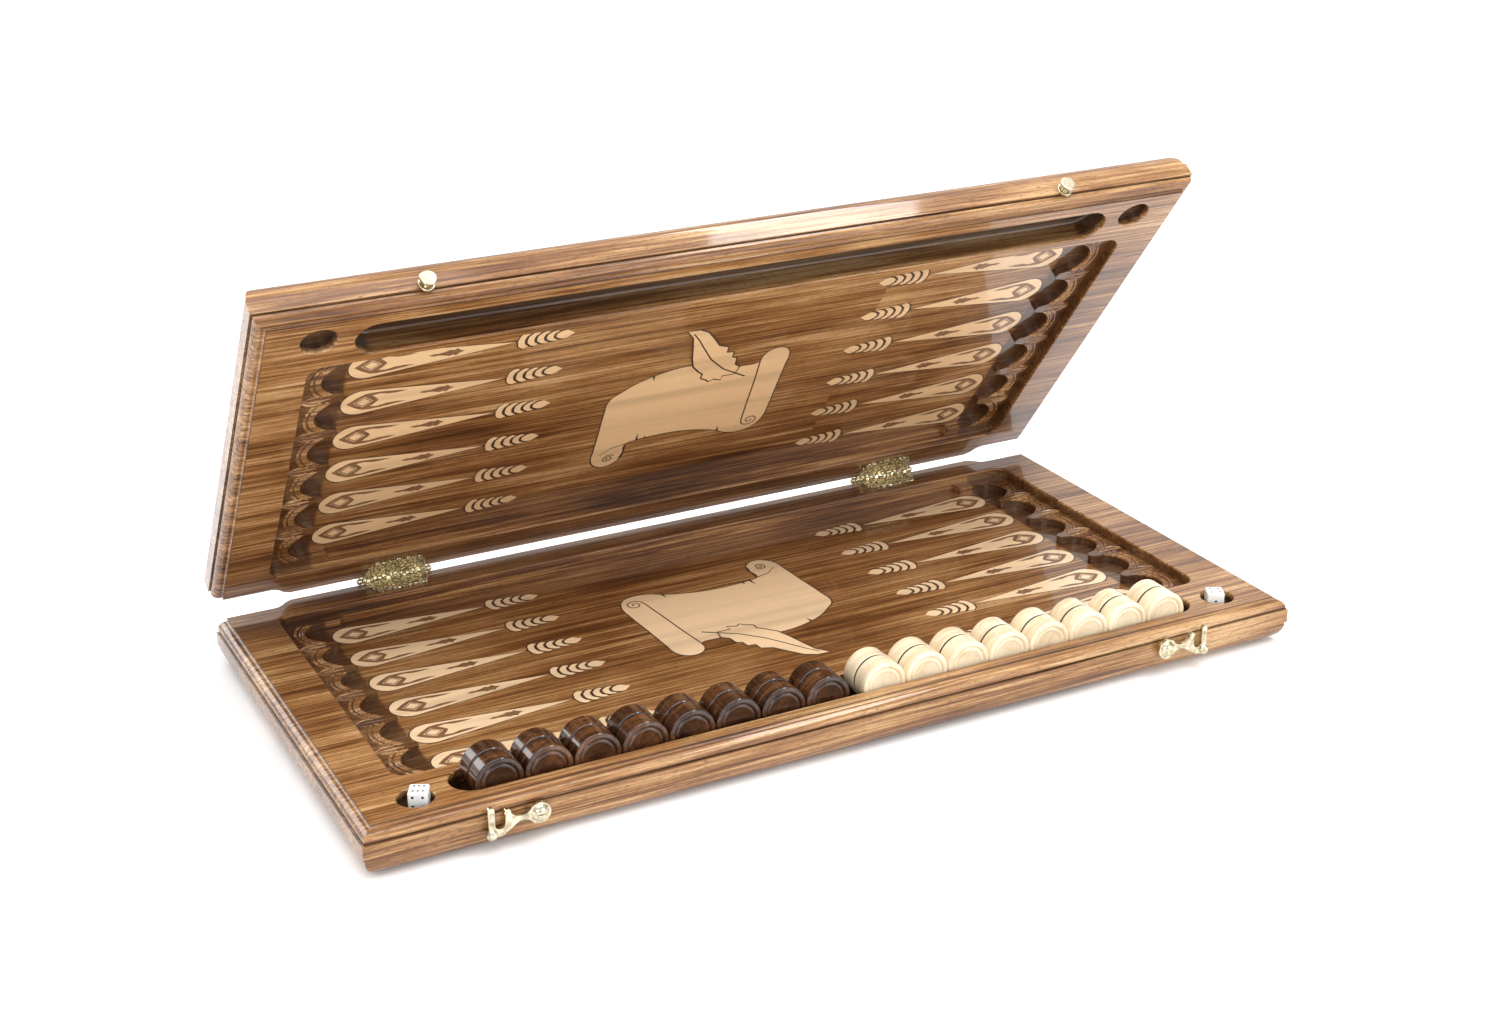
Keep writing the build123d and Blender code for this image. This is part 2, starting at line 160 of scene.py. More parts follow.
# %% Node helpers
class Recipe:
    """A small builder for one material's nodes."""

    def __init__(self, name):
        self.material = bpy.data.materials.new(name)
        self.material.use_nodes = True
        self.tree = self.material.node_tree
        self.shader = self.tree.nodes["Principled BSDF"]

    def node(self, kind, links=(), **settings):
        """Adds a node; a setting is a property where it has one, and a socket otherwise."""
        made = self.tree.nodes.new("ShaderNode" + kind)
        for key, value in settings.items():
            if hasattr(made, key):
                setattr(made, key, value)
            else:
                made.inputs[key.replace("_", " ")].default_value = value
        for socket, source in dict(links).items():
            self.tree.links.new(source, made.inputs[socket])
        return made

    def place(self, location=(0, 0, 0), rotation=(0, 0, 0)):
        """Object coordinates, moved and turned."""
        coordinates = self.node("TexCoord").outputs["Object"]
        return self.turned(coordinates, rotation, location)

    def turned(self, vector, rotation, location=(0, 0, 0)):
        """Coordinates turned, then moved, by a Mapping node."""
        mapping = self.node("Mapping", {"Vector": vector})
        mapping.inputs["Location"].default_value = location
        mapping.inputs["Rotation"].default_value = rotation
        return mapping.outputs[0]

    def stretched(self, vector, scale):
        """Coordinates multiplied axis by axis, so a pattern is drawn out along the small ones."""
        made = self.node("VectorMath", {0: vector}, operation="MULTIPLY")
        made.inputs[1].default_value = scale
        return made.outputs[0]

    def noise(self, vector, scale, detail=4.0, roughness=0.55, distortion=0.0):
        made = self.node("TexNoise", {"Vector": vector}, Scale=scale, Detail=detail,
                         Roughness=roughness, Distortion=distortion)
        return made.outputs["Fac"]

    def ramp(self, factor, stops):
        """Colours at places from 0 to 1, blended in between."""
        made = self.node("ValToRGB", {"Fac": factor})
        ramp = made.color_ramp
        while len(ramp.elements) < len(stops):
            ramp.elements.new(0.5)
        for element, (position, color) in zip(ramp.elements, stops):
            element.position = position
            element.color = (*color, 1)
        return made.outputs["Color"]

    def grey(self, factor, low, high, first=0.0, last=1.0):
        """Maps low..high to first..last and holds it there outside."""
        made = self.node("MapRange", {"Value": factor})
        made.inputs["From Min"].default_value = low
        made.inputs["From Max"].default_value = high
        made.inputs["To Min"].default_value = first
        made.inputs["To Max"].default_value = last
        return made.outputs["Result"]

    def mix(self, factor, first, second):
        """Blends the colour output first towards the colour second by a factor."""
        made = self.node("Mix", data_type="RGBA", blend_type="MIX")
        self.tree.links.new(factor, made.inputs[0])
        self.tree.links.new(first, made.inputs[6])
        made.inputs[7].default_value = (*second, 1)
        return made.outputs[2]

    def math(self, operation, first, second=0.0):
        made = self.node("Math", operation=operation)
        for index, value in ((0, first), (1, second)):
            if hasattr(value, "links"):
                self.tree.links.new(value, made.inputs[index])
            else:
                made.inputs[index].default_value = value
        return made.outputs[0]

    def product(self, first, *others):
        """Multiplies masks, so the result shows only where all of them do."""
        for other in others:
            first = self.math("MULTIPLY", first, other)
        return first

    def bump(self, height, strength, distance):
        made = self.node("Bump", {"Height": height}, Strength=strength, Distance=distance)
        self.tree.links.new(made.outputs[0], self.shader.inputs["Normal"])

    def finish(self, color, roughness, **values):
        """Joins colour and roughness to the shader and sets what is the same all over."""
        self.tree.links.new(color, self.shader.inputs["Base Color"])
        self.tree.links.new(roughness, self.shader.inputs["Roughness"])
        socket_values(self.shader, **values)
        return self.material


print("node helpers ready")


# %% [markdown]
# Painted shade darkens the hollows: the grooves of the moulding, the low floors of the carved
# ends and down the wells, where the real board looks nearly black in shade. Each place is found
# by its depth below the rim and its distance from the middle or from the hinge, so the shade
# needs no painted picture and follows the carving exactly.

# %% Where painted shade darkens the hollows
GROOVES = (
    # depth of the groove's middle, and where it starts towards an end and towards the front
    (7.9 * MM, 298.4 * MM, 296.7 * MM),
    (1.1 * MM, 292.4 * MM, 290.7 * MM),
)
# Colours of painted shade: in the grooves, on the carved ends and in the wells.
GROOVE_PAINTED_SHADE = (0.030, 0.012, 0.006)
CARVED_END_PAINTED_SHADE = (0.042, 0.016, 0.007)
WELL_PAINTED_SHADE = (0.022, 0.009, 0.004)
ABOVE_BASE = (17.5 * MM, 16.0 * MM)


def groove_painted_shade(wood, color, parts):
    """Paints shade into the two grooves of the moulding along the ends and the front."""
    along = wood.math("ABSOLUTE", parts["X"])
    depth = wood.math("ABSOLUTE", parts["Z"])
    for middle, end, front in GROOVES:
        off_middle = wood.math("ABSOLUTE", wood.math("SUBTRACT", depth, middle))
        groove = wood.grey(off_middle, 0.8 * MM, 0.3 * MM)
        at_end = wood.grey(along, end, end + 0.2 * MM)
        at_front = wood.grey(parts["Y"], -front, -front - 0.2 * MM)
        outside = wood.math("MAXIMUM", at_end, at_front)
        color = wood.mix(wood.product(groove, outside, 0.85), color, GROOVE_PAINTED_SHADE)
    return color


def carved_end_painted_shade(wood, color, parts):
    """Paints shade on the carved end of the field, darker on its lower step."""
    along = wood.math("ABSOLUTE", parts["X"])
    depth = wood.math("ABSOLUTE", parts["Z"])
    past_points = wood.grey(along, 236.2 * MM, 238.4 * MM)
    inside_rim = wood.grey(along, 267.0 * MM, 265.5 * MM)
    below_rim = wood.grey(depth, 1.6 * MM, 3.4 * MM)
    behind_trough = wood.grey(parts["Y"], -251.5 * MM, -249.0 * MM)
    lower_step = wood.grey(depth, 6.6 * MM, 8.2 * MM, 0.50, 0.80)
    share = wood.product(past_points, inside_rim, below_rim, behind_trough,
                         wood.grey(depth, *ABOVE_BASE), lower_step)
    return wood.mix(share, color, CARVED_END_PAINTED_SHADE)


def well_painted_shade(wood, color, parts):
    """Paints shade into the trough and the two wells along the front."""
    along = wood.math("ABSOLUTE", parts["X"])
    depth = wood.math("ABSOLUTE", parts["Z"])
    past_field = wood.grey(parts["Y"], -255.0 * MM, -257.0 * MM)
    behind_front = wood.grey(parts["Y"], -285.5 * MM, -283.5 * MM)
    inside_ends = wood.grey(along, 274.5 * MM, 273.5 * MM)
    below_rim = wood.grey(depth, 2.2 * MM, 5.0 * MM, 0.0, 0.88)
    share = wood.product(past_field, behind_front, inside_ends, below_rim,
                         wood.grey(depth, *ABOVE_BASE))
    return wood.mix(share, color, WELL_PAINTED_SHADE)


print("grooves at depths", [round(middle, 4) for middle, _, _ in GROOVES])


# %% [markdown]
# Beech is a fine, even wood: long soft bands, short dark flecks, and boards glued from
# staves that take the stain differently. All of it is stretched along x, because every
# stave runs along the board. A Mapping node turns the lid's coordinates back, so both
# halves are grained the same way, and each has its own shift so that they differ. The
# varnish is the shader's coat: a thin clear gloss over rougher wood.

# %% Stained beech
STAVE_WIDTH = 61 * MM
BEECH_STAIN = (
    (0.0, (0.026, 0.010, 0.004)),
    (0.28, (0.088, 0.030, 0.008)),
    (0.52, (0.200, 0.083, 0.025)),
    (0.76, (0.345, 0.172, 0.062)),
    (1.0, (0.52, 0.32, 0.15)),
)
FLECK_STAIN = (0.075, 0.030, 0.012)


def glued_staves(wood, here):
    """A grey for each stave of the board, with thin glue lines between them."""
    staves = wood.node("TexBrick", {"Vector": here}, offset=0.37, offset_frequency=2,
                       squash=1.0, Scale=1.0, Mortar_Size=0.00022, Mortar_Smooth=0.3,
                       Bias=0.0, Brick_Width=4.0, Row_Height=STAVE_WIDTH)
    for socket, grey in (("Color1", 0.0), ("Color2", 1.0), ("Mortar", 0.35)):
        staves.inputs[socket].default_value = (grey, grey, grey, 1)
    return staves.outputs["Color"]


def stained_beech(name, turn, shift, paint_hollow_shade=True):
    """Brown stained, varnished beech with glued staves, bands, flecks and blotches."""
    wood = Recipe(name)
    from_hinge = wood.place(location=(0, -HINGE_Y, -BOARD_HEIGHT - AXIS_RISE))
    on_half = wood.turned(from_hinge, (turn, 0, 0))
    moved = wood.node("VectorMath", {0: on_half}, operation="ADD")
    moved.inputs[1].default_value = (shift, 0, 0)
    here = moved.outputs[0]

    stave = glued_staves(wood, here)
    per_stave = wood.node("VectorMath", {0: here, 1: stave}, operation="ADD").outputs[0]
    bands = wood.noise(wood.stretched(per_stave, (2.6, 70, 70)), 1.0, 3.0, 0.5, 1.2)
    streaks = wood.noise(wood.stretched(per_stave, (11, 520, 520)), 1.0, 5.0, 0.7, 0.3)
    flecks = wood.noise(wood.stretched(here, (210, 1900, 1900)), 1.0, 2.0, 0.5)
    blotches = wood.noise(wood.stretched(here, (7, 13, 13)), 1.0, 3.0, 0.5)

    tone = wood.grey(stave, 0, 1, -0.07, 0.06)
    for pattern, strength in ((bands, 0.52), (streaks, 1.25), (blotches, 0.50)):
        tone = wood.math("ADD", tone, wood.math("MULTIPLY", pattern, strength))
    color = wood.ramp(wood.grey(tone, 0.825, 1.385), BEECH_STAIN)
    color = wood.mix(wood.grey(flecks, 0.58, 0.66, 0.0, 0.60), color, FLECK_STAIN)
    parts = wood.node("SeparateXYZ", {"Vector": on_half}).outputs
    # Painted shade in the hollows: the grooves, the carved ends and the wells.
    color = groove_painted_shade(wood, color, parts)
    if paint_hollow_shade:
        color = carved_end_painted_shade(wood, color, parts)
        color = well_painted_shade(wood, color, parts)

    rough = wood.grey(streaks, 0.2, 0.8, 0.42, 0.30)
    wood.bump(wood.math("ADD", streaks, wood.math("MULTIPLY", flecks, 0.6)), 0.10, 0.0003)
    return wood.finish(color, rough, Coat_Weight=0.75, Coat_Roughness=0.05, Coat_IOR=1.48,
                       Specular_IOR_Level=0.16)


lower_wood = stained_beech("lower_stained_beech", 0.0, 0.55)
lid_wood = stained_beech("lid_stained_beech", OPENING, 2.41)
print("woods", lower_wood.name, lid_wood.name)


# %% [markdown]
# The decoration is where the stain was kept off: bare pale beech under the same varnish,
# with outlines burned dark by a hot needle.

# %% Pale and burned wood
def pale_beech(name, turn, tint):
    """Bare beech under varnish, nearly even, with faint bands along the board."""
    wood = Recipe(name)
    here = wood.place(rotation=(turn, 0, 0))
    bands = wood.noise(wood.stretched(here, (2.5, 75, 75)), 1.0, 3.0, 0.5, 0.3)
    flecks = wood.noise(wood.stretched(here, (260, 1800, 1800)), 1.0, 2.0)
    first = tuple(c * 0.78 for c in tint)
    color = wood.ramp(wood.grey(bands, 0.3, 0.7), ((0, first), (0.6, tint), (1, tint)))
    color = wood.mix(wood.grey(flecks, 0.60, 0.72, 0, 0.3), color, tuple(c * 0.5 for c in tint))
    wood.bump(bands, 0.05, 0.0002)
    return wood.finish(color, wood.grey(flecks, 0.2, 0.8, 0.30, 0.40), Coat_Weight=0.6,
                       Coat_Roughness=0.08)


def burned_wood(name, deep):
    """Wood scorched dark by a hot tool, uneven where the tool lingered."""
    wood = Recipe(name)
    here = wood.place()
    scorch = wood.noise(here, 420, 4.0, 0.6)
    color = wood.ramp(wood.grey(scorch, 0.3, 0.7), ((0, tuple(c * 0.45 for c in deep)), (1, deep)))
    wood.bump(scorch, 0.2, 0.0002)
    return wood.finish(color, wood.grey(scorch, 0.2, 0.8, 0.35, 0.55), Coat_Weight=0.35,
                       Coat_Roughness=0.12)


# The two tints are lit and shaded copies of one pale beech: painted shade makes the lid's darker, as
# the lid faces down away from the lamps, and painted light makes the lower one brighter under the
# lid's shadow.
PALE = {
    "lower": pale_beech("pale_beech_lower", 0.0, (0.86, 0.63, 0.39)),
    "lid": pale_beech("pale_beech_lid", OPENING, (0.76, 0.51, 0.28)),
}
BURN = burned_wood("burned_line", (0.050, 0.022, 0.012))
SHADE = burned_wood("burned_shading", (0.26, 0.125, 0.055))
print("decoration finishes ready")

# %% [markdown]
# Metal parts: the hinges are pressed brass with an antique brown rubbed into the pattern,
# so one cell pattern drives both the height and the colour. The latches are plain bright brass.

# %% Brass
ANTIQUE_BRASS = (
    (0, (0.045, 0.032, 0.018)),
    (0.32, (0.45, 0.36, 0.20)),
    (1, (0.98, 0.88, 0.62)),
)
PALE_BRASS = ((0, (0.30, 0.24, 0.14)), (1, (0.86, 0.79, 0.60)))


def pressed_brass():
    """Antique brass sheet with a pressed leafy pattern."""
    metal = Recipe("pressed_antique_brass")
    here = metal.place()
    leaves = metal.node("TexVoronoi", {"Vector": here}, feature="DISTANCE_TO_EDGE", Scale=330.0)
    height = metal.grey(leaves.outputs["Distance"], 0.0, 0.20)
    fine = metal.noise(here, 900, 3.0)
    level = metal.math("ADD", height, metal.math("MULTIPLY", fine, 0.4))
    color = metal.ramp(metal.grey(level, 0.2, 1.1), ANTIQUE_BRASS)
    metal.bump(level, 0.85, 0.0006)
    return metal.finish(color, metal.grey(level, 0.2, 1.1, 0.55, 0.24), Metallic=1.0)


def bright_brass():
    """Pale tumbled brass with faint dull marks."""
    metal = Recipe("bright_brass")
    here = metal.place()
    dull = metal.noise(here, 260, 4.0, 0.6)
    color = metal.ramp(metal.grey(dull, 0.3, 0.7), PALE_BRASS)
    metal.bump(dull, 0.15, 0.0003)
    return metal.finish(color, metal.grey(dull, 0.3, 0.7, 0.30, 0.14), Metallic=1.0)


PRESSED, BRIGHT = pressed_brass(), bright_brass()
print("brass ready")


# %% [markdown]
# Checkers are turned on a lathe from dark and pale blanks. The grain crosses each face in
# long soft bands; the dark ones are nearly black where the stain gathered in the rings.

# %% Checkers
PAIR_GAP_Y = 119.25 * MM
GAP_SHADE = (0.012, 0.006, 0.004)
DARK_STAIN = ((0, (0.010, 0.004, 0.002)), (0.5, (0.045, 0.016, 0.007)), (1, (0.17, 0.065, 0.022)))
PALE_WOOD = ((0, (0.64, 0.49, 0.30)), (0.5, (0.82, 0.68, 0.47)), (1, (0.90, 0.79, 0.59)))
BLANKS = 3


def turned_wood(name, stops, turn):
    """Varnished turned wood with bands across the face."""
    wood = Recipe(name)
    here = wood.place(rotation=turn)
    bands = wood.noise(wood.stretched(here, (18, 160, 55)), 1.0, 4.0, 0.55, 0.8)
    fine = wood.noise(wood.stretched(here, (90, 1300, 500)), 1.0, 3.0)
    tone = wood.math("ADD", wood.math("MULTIPLY", bands, 0.8), wood.math("MULTIPLY", fine, 0.3))
    color = wood.ramp(wood.grey(tone, 0.35, 0.75), stops)
    # Painted shade: a dark band round the joint where the two checkers of a pair meet.
    from_gap = wood.place(location=(0, PAIR_GAP_Y, 0))
    across = wood.node("SeparateXYZ", {"Vector": from_gap}).outputs["Y"]
    gap = wood.grey(wood.math("ABSOLUTE", across), 0.9 * MM, 0.4 * MM)
    color = wood.mix(gap, color, GAP_SHADE)
    wood.bump(fine, 0.08, 0.0002)
    return wood.finish(color, wood.grey(fine, 0.2, 0.8, 0.30, 0.20), Coat_Weight=0.8,
                       Coat_Roughness=0.04, Specular_IOR_Level=0.2)


def blanks(name, stops):
    """The same wood from several blanks, each turned another way so that pieces differ."""
    return [turned_wood(f"{name}_{k}", stops, (0.1 * k, 0.9 * k, 0.2 * k)) for k in range(BLANKS)]


DARK = blanks("dark_checker", DARK_STAIN)
LIGHT = blanks("light_checker", PALE_WOOD)
print("checker blanks", len(DARK) + len(LIGHT))


# %% [markdown]
# A die is a moulded white cube, and its pips are small hollows with black paint in them. The
# hollows are in the solid, so the paint only has to know where the surface lies below a face.
# Of the three distances from the die's middle, the largest tells how deep a point is, and the
# middle one keeps the rounded edges white.

# %% Dice
DIE_TURN = math.radians(27)
PIP_DEPTH = 0.02 * MM
EDGE_MARGIN = 1.25 * MM
PLASTIC_WHITE = ((0.3, (0.78, 0.78, 0.75)), (0.7, (0.86, 0.86, 0.84)))
PIP_BLACK = (0.01, 0.01, 0.01)


def die_plastic(name, centre, half):
    """White plastic die with black paint in its pips, found by depth below each face."""
    die = Recipe(name)
    moved = die.place(location=tuple(-c for c in centre))
    squared = die.turned(moved, (0, 0, DIE_TURN))
    parts = die.node("SeparateXYZ", {"Vector": squared}).outputs
    x, y, z = (die.math("ABSOLUTE", parts[axis]) for axis in "XYZ")
    largest = die.math("MAXIMUM", x, die.math("MAXIMUM", y, z))
    smallest = die.math("MINIMUM", x, die.math("MINIMUM", y, z))
    total = die.math("ADD", x, die.math("ADD", y, z))
    middle = die.math("SUBTRACT", die.math("SUBTRACT", total, largest), smallest)
    sunk = die.math("LESS_THAN", largest, half - PIP_DEPTH)
    inner = die.math("LESS_THAN", middle, half - EDGE_MARGIN)
    speck = die.noise(moved, 900, 2.0)
    body = die.ramp(speck, PLASTIC_WHITE)
    color = die.mix(die.product(sunk, inner), body, PIP_BLACK)
    die.bump(speck, 0.03, 0.0001)
    return die.finish(color, die.grey(speck, 0.3, 0.7, 0.22, 0.30), Subsurface_Weight=0.05)


print("die finish ready")


# %% [markdown]
# Now the solid parts get their finishes. They come with their shape and place, so nothing
# about them changes but the material. Neighbouring checkers take turns with the blanks.

# %% Dress the solid parts
def dress(node, material):
    """Gives a solid node one finish."""
    node.data.materials.clear()
    node.data.materials.append(material)


for name, node in nodes.items():
    if name == "lower_board":
        dress(node, lower_wood)
    elif name == "lid_board":
        dress(node, lid_wood)
    elif name.startswith("checker"):
        family = DARK if "dark" in name else LIGHT
        dress(node, family[int(name[-1]) % BLANKS])
    elif name.startswith("die"):
        low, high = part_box(name)
        dress(node, die_plastic(name + "_plastic", (low + high) / 2, (high.z - low.z) / 2))
    elif name.startswith("hinge_leaf"):
        dress(node, PRESSED)
    else:
        dress(node, BRIGHT)
print("dressed", len(nodes), "nodes")

# %% [markdown]
# Every flat drawing is a filled curve with a hair's thickness, laid on the field of a half.
# It is turned into a mesh, carried to its half, and rides with that half's board. Layers
# stand a few hundredths of a millimetre over each other: burned outline, pale wood, marks.

# %% Flat inlays
INLAY_FOOT = -0.04
BURNED_EDGE, PALE_LAYER, MARK_LAYER, GAP_LAYER = 0.02, 0.05, 0.08, 0.10
QUILL_LAYER, RHOMBUS_LAYER, LINE_LAYER = 0.11, 0.12, 0.14


def mesh_from(curve):
    """Turns a curve into a mesh object and leaves it active."""
    bpy.ops.object.select_all(action="DESELECT")
    piece = bpy.data.objects.new(curve.name, curve)
    bpy.context.collection.objects.link(piece)
    piece.select_set(True)
    bpy.context.view_layer.objects.active = piece
    bpy.ops.object.convert(target="MESH")
    return bpy.context.object


def face_outwards(merge):
    """Points the active mesh's faces outwards, after merging doubles where asked."""
    bpy.ops.object.mode_set(mode="EDIT")
    bpy.ops.mesh.select_all(action="SELECT")
    if merge:
        bpy.ops.mesh.remove_doubles(threshold=1e-6)
    bpy.ops.mesh.normals_make_consistent(inside=False)
    bpy.ops.object.mode_set(mode="OBJECT")


def fasten(piece, half, material):
    """Gives a piece its finish and fixes it to one half's board."""
    piece.data.materials.append(material)
    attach(piece, HALVES[half][1])
    print(piece.name, len(piece.data.polygons), "faces")


def lay(name, outlines, half, top, material):
    """Lays filled outlines, lists of (x, s) in mm with a smooth flag, on one half's field."""
    curve = bpy.data.curves.new(name, "CURVE")
    curve.dimensions = "2D"
    curve.fill_mode = "BOTH"
    curve.resolution_u = 5
    curve.extrude = (top - INLAY_FOOT) / 2 * MM
    for points, smooth in outlines:
        spline = curve.splines.new("BEZIER")
        spline.bezier_points.add(len(points) - 1)
        spline.use_cyclic_u = True
        for point, (x, s) in zip(spline.bezier_points, points):
            point.co = (x * MM, -s * MM, 0)
            point.handle_left_type = point.handle_right_type = "AUTO" if smooth else "VECTOR"
    piece = mesh_from(curve)
    middle = FIELD + (top + INLAY_FOOT) / 2
    piece.data.transform(HALVES[half][0] @ Matrix.Translation((0, 0, middle * MM)))
    face_outwards(merge=True)
    fasten(piece, half, material)


print("an inlay reaches", INLAY_FOOT, "mm into the field")


# %% [markdown]
# A burned line is a narrow band with its own outline, so lines are laid like the other
# inlays. A point is pushed to both sides, square to the way from the point before it to the
# point after it. Lines that curl up, as at a scroll's end, follow a spiral formula.

# %% Burned lines
def stroke(points, width, end_width=None):
    """Outline of a line drawn through points, narrowing to end_width."""
    end_width = width if end_width is None else end_width
    left, right = [], []
    last = len(points) - 1
    for k, (x, s) in enumerate(points):
        before, after = points[max(k - 1, 0)], points[min(k + 1, last)]
        dx, ds = after[0] - before[0], after[1] - before[1]
        size = math.hypot(dx, ds) or 1
        half = (width + (end_width - width) * k / last) / 2
        left.append((x - ds / size * half, s + dx / size * half))
        right.append((x + ds / size * half, s - dx / size * half))
    return left + right[::-1], False


SPIRAL_EYE = 0.8
STEPS_PER_TURN = 14


def spiral(centre, radius, turns, start):
    """Points of a spiral closing in on a centre."""
    points = []
    count = int(STEPS_PER_TURN * turns)
    for k in range(count + 1):
        share = k / count
        reach = radius + (SPIRAL_EYE - radius) * share
        angle = start + 2 * math.pi * turns * share
        points.append((centre[0] + reach * math.cos(angle), centre[1] + reach * math.sin(angle)))
    return points


print("line and spiral helpers ready")


# %% [markdown]
# Each playing point is a long drop: a round head by the scalloped wall and a straight taper.
# A rhombus and flame-like marks are burned into it, and a wheat ear stands past its tip.

# %% Playing points
FIRST_ROW, ROW_PITCH = 46.9, 35.9
ROWS = [FIRST_ROW + ROW_PITCH * k for k in range(6)]
HEAD_X, HEAD_R, TIP_X = 225.4, 11.5, 138.0
HEAD_STEPS = 12
OUTLINE = 0.95


def drop(grow):
    """Outline of one point, about its own row, grown by a margin."""
    radius = HEAD_R + grow
    tip = TIP_X - 3.0 * grow
    lean = math.asin(radius / (HEAD_X - tip))
    points = []
    for k in range(HEAD_STEPS + 1):
        angle = math.pi / 2 + lean - (math.pi + 2 * lean) * k / HEAD_STEPS
        points.append((HEAD_X + radius * math.cos(angle), radius * math.sin(angle)))
    return points + [(tip, 0.0)]


def rhombus(centre, along, across):
    """A diamond about a place on the row."""
    return [(centre + along, 0), (centre, across), (centre - along, 0), (centre, -across)]


RHOMBUS_X = 223.6
FLAMES_ROUND_RHOMBUS = [
    (233.6, 0), (229.0, 4.2), (226.0, 6.2), (223.5, 7.8), (219.5, 8.2), (212.0, 7.8), (204.0, 6.6),
    (197.6, 5.4), (203.0, 4.6), (209.0, 4.6), (214.5, 6.2), (219.0, 5.4), (216.0, 2.2), (214.6, 0),
]
FLAME_AT_TIP = [
    (190.5, 0.3), (187.0, 1.2), (184.5, 0.9), (181.0, 1.6), (178.0, 2.9), (175.5, 2.2), (173.5, 3.4),
    (171.8, 1.4), (169.0, 0.0),
]


def both_sides(half_outline):
    """Closes an outline drawn on one side of its row with its mirror image."""
    return half_outline + [(x, -s) for x, s in half_outline[-2:0:-1]]


def on_rows(outlines):
    """Repeats outlines, drawn about a row at the right, on all rows at both ends."""
    placed = []
    for row in ROWS:
        for side in (1, -1):
            for points, smooth in outlines:
                placed.append(([(side * x, row + s) for x, s in points], smooth))
    return placed


marks = [(both_sides(FLAMES_ROUND_RHOMBUS), False), (both_sides(FLAME_AT_TIP), False)]
rhombus_gap = [(rhombus(RHOMBUS_X, 6.0, 5.0), False)]
corners = rhombus(RHOMBUS_X, 4.8, 3.9)
rhombus_rim = [stroke(corners + corners[:1], 0.9)]


def lay_points(half):
    """Lays the twelve points of one half, from the burned edge up to the rhombus."""
    lay(f"point_outline_{half}", on_rows([(drop(OUTLINE), False)]), half, BURNED_EDGE, BURN)
    lay(f"point_pale_{half}", on_rows([(drop(0.0), False)]), half, PALE_LAYER, PALE[half])
    lay(f"point_marks_{half}", on_rows(marks), half, MARK_LAYER, SHADE)
    lay(f"point_rhombus_gap_{half}", on_rows(rhombus_gap), half, GAP_LAYER, PALE[half])
    lay(f"point_rhombus_{half}", on_rows(rhombus_rim), half, RHOMBUS_LAYER, SHADE)


print("points on each half", 2 * len(ROWS))


# %% [markdown]
# The ear of wheat past each tip is pale too. Its leaves stand in pairs that get narrower
# outwards, and a dark chevron, thick at the stalk and thin at the rim, parts each pair from
# the next. One list of leaves gives both, so the chevrons stay on the joints of the body.
# With the ears drawn, the points and ears of both halves are laid.

# %% Ears of wheat
LEAF_START, LEAF_PITCH = 136.0, 5.9
LEAF_WIDTH, LEAF_TAPER = 7.6, 0.85
EAR_END = 101.5
EAR = [(LEAF_START - LEAF_PITCH * k, LEAF_WIDTH - LEAF_TAPER * k) for k in range(5)]


def ear_body():
    """Outline of an ear: a long tapering body, nicked where one leaf ends and the next begins."""
    side = []
    for base, half_width in EAR:
        side += [(base, half_width * 0.45), (base - 1.0, half_width * 0.86),
                 (base - 4.0, half_width), (base - 6.6, half_width * 0.84)]
    foot = [(LEAF_START + 0.8, 0)]
    return foot + side + [(EAR_END, 0)] + [(x, -s) for x, s in reversed(side)]


pale_ear = [(ear_body(), False)]
dark_ear = []
for base, half_width in EAR[1:]:
    for side in (1, -1):
        arm = [(base + 1.6, 0.0), (base + 1.0, half_width * 0.5 * side),
               (base - 1.8, half_width * 0.96 * side), (base - 4.6, half_width * 1.12 * side)]
        dark_ear.append(stroke(arm, 2.1, 1.0))
for side in (1, -1):
    rim = [(137.2, 0.0), (136.2, 5.0 * side), (132.6, 9.0 * side)]
    dark_ear.append(stroke(rim, 1.0, 0.6))
for half in HALVES:
    lay_points(half)
    lay(f"wheat_pale_{half}", on_rows(pale_ear), half, PALE_LAYER, PALE[half])
    lay(f"wheat_burn_{half}", on_rows(dark_ear), half, MARK_LAYER, BURN)

# %% [markdown]
# In the middle lies a scroll with rolled ends and a quill across it, cut out of the stain
# in one pale area. On the lid the roll is at the right; on the lower half at the left.

# %% Scroll and quill
SCROLL = [
    (-59.6, 144.5), (-59.9, 129.4), (-58.4, 106.7), (-57.2, 87.0), (-55.7, 73.0), (-51.5, 67.4),
    (-45.5, 65.0), (-39.4, 67.6), (-35.6, 74.0), (-35.4, 89.3), (-29.7, 91.4), (-16.0, 93.0),
    (-2.5, 93.1), (9.6, 91.5), (21.7, 88.2), (30.7, 84.6), (37.6, 80.4), (48.9, 78.4),
    (57.0, 81.4), (61.7, 90.1), (62.2, 105.2), (60.9, 129.4), (59.9, 152.0), (59.1, 164.1),
    (55.7, 169.6), (49.6, 172.0), (43.6, 170.0), (40.4, 165.0), (39.5, 159.4), (30.7, 157.8),
    (15.0, 160.5), (-2.0, 166.0), (-12.0, 168.2), (-22.1, 167.2), (-34.2, 163.6), (-44.8, 158.4),
    (-52.3, 152.2),
]
QUILL = [
    (-23.4, 207.0), (-17.6, 199.4), (-15.0, 189.8), (-11.8, 176.2), (-8.7, 167.1), (-3.0, 160.2),
    (0.6, 156.8), (0.4, 152.4), (5.1, 149.4), (7.0, 147.0), (10.0, 149.2), (15.6, 146.6),
    (15.0, 151.0), (24.0, 151.0), (25.2, 157.8), (21.0, 161.6), (20.2, 168.6), (16.6, 170.4),
    (16.2, 175.8), (11.0, 176.6), (10.4, 182.6), (3.5, 185.6), (-2.5, 194.3), (-8.5, 202.4),
    (-15.3, 206.6),
]
SPINE = [(-18.5, 203.5), (-13.0, 196.0), (-7.0, 186.0), (2.0, 171.7), (14.1, 158.6), (33.0, 145.6)]
ROLL_EDGE = [(39.6, 160.0), (42.0, 140.0), (44.2, 115.0), (46.4, 92.5)]


